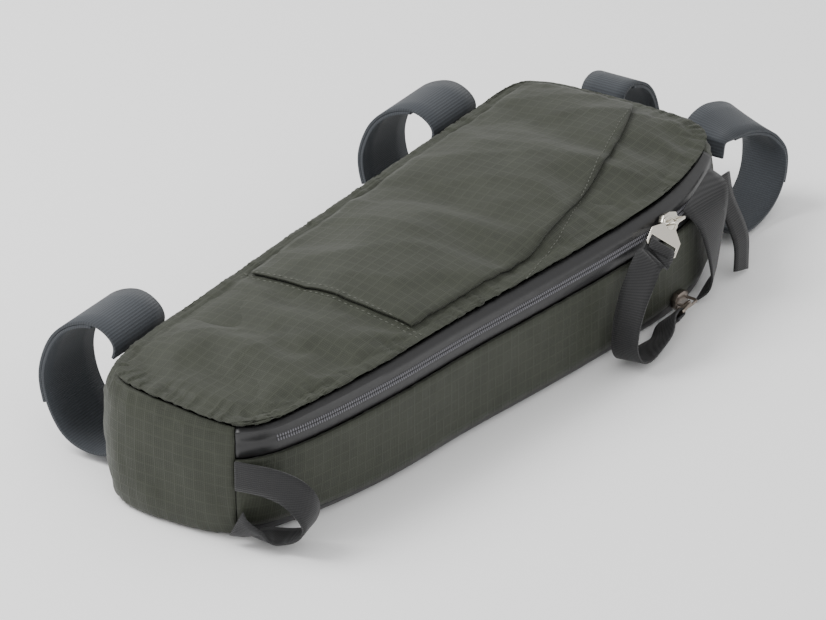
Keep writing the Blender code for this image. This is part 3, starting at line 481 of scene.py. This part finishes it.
def pill(bm, centre, run, up, length, width, height):
    """A small rounded bead, such as a stitch or a tooth, laid along run."""
    side = up.cross(run).normalized()
    turn = Matrix((run.normalized(), side, up)).transposed().to_4x4()
    shape = Matrix.Diagonal((length / 2, width / 2, height / 2, 1.0))
    bmesh.ops.create_uvsphere(bm, u_segments=8, v_segments=5, radius=1.0,
                              matrix=Matrix.Translation(centre) @ turn @ shape)


def stitch_row(bm, tree, route, down, sizes):
    """Stitches along a route of points, laid on the nearest surface below them."""
    step = sizes.stitch + sizes.stitch_gap
    lengths = [0.0]
    for p, q in zip(route, route[1:]):
        lengths.append(lengths[-1] + (q - p).length)
    where = step / 2
    while where < lengths[-1]:
        k = max(i for i in range(len(lengths) - 1) if lengths[i] <= where)
        share = (where - lengths[k]) / (lengths[k + 1] - lengths[k])
        point = route[k].lerp(route[k + 1], share)
        spot, normal = tree.ray_cast(point - down * STITCH_HEIGHT, down)[:2]
        if spot is not None:
            run = route[k + 1] - route[k]
            run = (run - normal * run.dot(normal)).normalized()
            pill(bm, spot + normal * BEAD_LIFT, run, normal, sizes.stitch, STITCH_WIDTH,
                 STITCH_THICKNESS)
        where += step


class BAG_OT_panels(bpy.types.Operator):
    """Make the sewn cloth panels with their gathers and creases."""

    bl_idname = "bag.panels"
    bl_label = "Cloth panels"

    def execute(self, context):
        sizes = context.scene.bag_sizes
        made = {}
        for seed, (node, strength) in enumerate(CLOTH.items()):
            obj = dense_copy(node, f"{node}_cloth")
            axes = FLAT_AXES[node]
            if node == "upper_panel":
                settle(obj, sizes)
                finer = obj.modifiers.new("finer", "SUBSURF")
                finer.levels = finer.render_levels = 1
                applied(obj)
            pucker_cloth(obj, axes, sizes, seed * 11.0, strength)
            lay_flat(obj, lambda co, axes=axes: (co[axes[0]], co[axes[1]]))
            dress(obj, [node], "cloth")
            made[node] = obj
        self.lift_flap(made["pocket_flap"], made["upper_panel"])
        return {"FINISHED"}

    def lift_flap(self, flap, panel):
        """Lay the pocket's outer layer just over the panel's finished surface."""
        tree = surface_of(panel)
        down = Vector((0, 0, -1))
        for v in flap.data.vertices:
            spot = tree.ray_cast(Vector((v.co.x, v.co.y, ABOVE_BAG)), down)[0]
            if spot is not None:
                cover = FLAP_TOP if v.normal.z > 0.3 else FLAP_UNDER
                v.co.z = spot.z + cover
        flap.data.update()


class BAG_OT_zips(bpy.types.Operator):
    """Make the two zips' tapes and the upper zip's coil."""

    bl_idname = "bag.zips"
    bl_label = "Zips"

    def execute(self, context):
        sizes = context.scene.bag_sizes
        for node in ("upper_zip", "lower_zip"):
            obj = dense_copy(node, f"{node}_tape")
            lay_flat(obj, lambda co: (co.x, co.z))
            dress(obj, [node], "zip")
            if node == "upper_zip":
                tree = surface_of(obj)
                low = min(v.co.x for v in obj.data.vertices)
                high = max(v.co.x for v in obj.data.vertices)
        bm = bmesh.new()
        inward = Vector((0, 1, 0))
        count = int((high - low) / sizes.coil_step)
        for i in range(COIL_SKIP[0], count - COIL_SKIP[1]):
            x = low + i * sizes.coil_step
            start = Vector((x, BESIDE_BAG, sizes.coil_height))
            spot, normal = tree.ray_cast(start, inward)[:2]
            if spot is None:
                continue
            run = Vector((1, 0, 0))
            run = (run - normal * run.dot(normal)).normalized()
            up = normal.cross(run)
            for rise in (-TOOTH_OFFSET, TOOTH_OFFSET):
                pill(bm, spot + up * rise + normal * BEAD_LIFT, up, normal,
                     TOOTH_LENGTH, TOOTH_WIDTH, TOOTH_WIDTH)
        coil = mesh_object("upper_zip_coil", bm)
        dress(coil, [], "coil")
        return {"FINISHED"}


class BAG_OT_straps(bpy.types.Operator):
    """Make the hook-and-loop straps of the four rings."""

    bl_idname = "bag.straps"
    bl_label = "Strap rings"

    def execute(self, context):
        for ring in RINGS:
            axis = 1 if ring.startswith("tube") else 0
            low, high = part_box(f"{ring}_loop")
            low2, high2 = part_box(f"{ring}_hook")
            centre = (Vector(low) + Vector(high2)) / 2
            centre.z = (low2[2] + high[2]) / 2
            radius = (high[2] - low2[2]) / 2
            for kind in ("loop", "hook"):
                node = f"{ring}_{kind}"
                obj = dense_copy(node, f"{node}_tape")
                lay_flat(obj, lambda co: (radius * math.atan2(co.z - centre.z,
                                                              co[axis] - centre[axis]),
                                          co[1 - axis]))
                dress(obj, [node], "tape")
        return {"FINISHED"}


class BAG_OT_webbing(bpy.types.Operator):
    """Make the webbing loops, the strap tail and the pull strap."""

    bl_idname = "bag.webbing"
    bl_label = "Webbing"

    def execute(self, context):
        for node in WEBBING:
            obj = dense_copy(node, f"{node}_webbing")
            axes = FLAT_AXES[node]
            lay_flat(obj, lambda co: (co[axes[1]], co[axes[0]]))
            dress(obj, [node], "webbing")
        return {"FINISHED"}


class BAG_OT_stitches(bpy.types.Operator):
    """Sew the pocket's hem and its cross seam."""

    bl_idname = "bag.stitches"
    bl_label = "Stitches"

    def execute(self, context):
        sizes = context.scene.bag_sizes
        tree = surface_of(bpy.data.objects["upper_panel_cloth"],
                          bpy.data.objects["pocket_flap_cloth"])
        low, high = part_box("pocket_flap")
        down = Vector((0, 0, -1))
        bm = bmesh.new()
        for shift in CROSS_ROWS:
            x = low[0] + shift
            # the rows run 4 mm past the pocket on the tube side and 2 mm on the zip side
            stitch_row(bm, tree, [Vector((x, high[1] + 4 * MM, STITCH_HEIGHT)),
                                  Vector((x, low[1] - 2 * MM, STITCH_HEIGHT))], down, sizes)
        size = Vector(high) - Vector(low)
        route = [Vector((low[0] + along * size.x, low[1] + across * size.y, STITCH_HEIGHT))
                 for along, across in HEM_ROW]
        stitch_row(bm, tree, route, down, sizes)
        thread = mesh_object("pocket_stitches", bm)
        dress(thread, [], "thread")
        return {"FINISHED"}


class BAG_OT_metal(bpy.types.Operator):
    """Finish the sliders and their tabs."""

    bl_idname = "bag.metal"
    bl_label = "Sliders"

    def execute(self, context):
        # the lower slider and tab take the darker nickel, painted shade under the bag's lower edge
        for place, kind, slot in (("upper", "nickel", "nickel"),
                                  ("lower", "dark_nickel", "dark_nickel")):
            for piece in ("slider", "pull_tab"):
                node = f"{place}_{piece}"
                bm = bmesh.new()
                bm.from_mesh(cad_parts[node].data)
                bmesh.ops.remove_doubles(bm, verts=bm.verts, dist=MERGE_DISTANCE)
                bmesh.ops.dissolve_limit(bm, angle_limit=0.02, verts=bm.verts, edges=bm.edges)
                obj = mesh_object(f"{node}_metal", bm)
                bevel = obj.modifiers.new("edge", "BEVEL")
                bevel.width = METAL_EDGE
                bevel.segments = 2
                bevel.limit_method = "ANGLE"
                bevel.angle_limit = 0.6
                applied(obj)
                dress(obj, [node], kind)
        return {"FINISHED"}


class BAG_OT_stage(bpy.types.Operator):
    """Set the floor, the lights and the camera."""

    bl_idname = "bag.stage"
    bl_label = "Stage"

    def execute(self, context):
        scene = context.scene
        bm = bmesh.new()
        bmesh.ops.create_grid(bm, x_segments=1, y_segments=1, size=6.0)
        floor = mesh_object("floor", bm)
        paper = bpy.data.materials.new("white_paper")
        paper.use_nodes = True
        shader = paper.node_tree.nodes["Principled BSDF"]
        shader.inputs["Base Color"].default_value = linear("#FCFCFC")
        shader.inputs["Roughness"].default_value = 0.9
        floor.data.materials.append(paper)

        world = bpy.data.worlds.new("studio")
        world.use_nodes = True
        background = world.node_tree.nodes["Background"]
        background.inputs["Color"].default_value = (1.0, 1.0, 1.0, 1.0)
        background.inputs["Strength"].default_value = 1.0
        scene.world = world
        for name, spot, size, power in (("key", (-0.5, 0.9, 1.3), 0.9, 26.0),
                                        ("fill", (-0.9, -1.2, 0.9), 1.2, 5.0)):
            lamp = bpy.data.lights.new(name, "AREA")
            lamp.size = size
            lamp.energy = power
            light = bpy.data.objects.new(name, lamp)
            light.location = spot
            light.rotation_euler = (-Vector(spot)).to_track_quat("-Z", "Y").to_euler()
            scene.collection.objects.link(light)

        data = bpy.data.cameras.new("camera")
        data.sensor_width = 36.0
        # the photograph is 826 pixels wide and was taken with a focal length of 5000 pixels
        data.lens = 5000 / 826 * data.sensor_width
        camera = bpy.data.objects.new("camera", data)
        target = Vector((0.0174, 0.0277, 0.0))
        azimuth, elevation = math.radians(-57.2), math.radians(28.0)
        back = Vector((math.sin(azimuth) * math.cos(elevation),
                       -math.cos(azimuth) * math.cos(elevation), math.sin(elevation)))
        camera.location = target + back * 2.5
        camera.rotation_euler = (-back).to_track_quat("-Z", "Y").to_euler()
        scene.collection.objects.link(camera)
        scene.camera = camera
        return {"FINISHED"}


class BAG_PT_panel(bpy.types.Panel):
    """The bag's steps and values."""

    bl_label = "Top tube bag"
    bl_idname = "BAG_PT_panel"
    bl_space_type = "VIEW_3D"
    bl_region_type = "UI"
    bl_category = "Bag"

    def draw(self, context):
        for step in STEPS:
            self.layout.operator(step.bl_idname)
        for group in (context.scene.bag_sizes, context.scene.bag_colours):
            for name in group.bl_rna.properties.keys():
                if name not in {"rna_type", "name"}:
                    self.layout.prop(group, name)


STEPS = (BAG_OT_panels, BAG_OT_zips, BAG_OT_straps, BAG_OT_webbing, BAG_OT_stitches, BAG_OT_metal,
         BAG_OT_stage)
CLASSES = (BagSizes, BagColours) + STEPS + (BAG_PT_panel,)


def register():
    """Add the classes and the scene's values."""
    for cls in CLASSES:
        bpy.utils.register_class(cls)
    bpy.types.Scene.bag_sizes = PointerProperty(type=BagSizes)
    bpy.types.Scene.bag_colours = PointerProperty(type=BagColours)


def unregister():
    """Remove the classes and the scene's values."""
    del bpy.types.Scene.bag_sizes
    del bpy.types.Scene.bag_colours
    for cls in reversed(CLASSES):
        bpy.utils.unregister_class(cls)


def main():
    """Dress the bag."""
    register()
    bpy.ops.bag.panels()
    bpy.ops.bag.zips()
    bpy.ops.bag.straps()
    bpy.ops.bag.webbing()
    bpy.ops.bag.stitches()
    bpy.ops.bag.metal()
    bpy.ops.bag.stage()


if __name__ == "__main__":
    main()
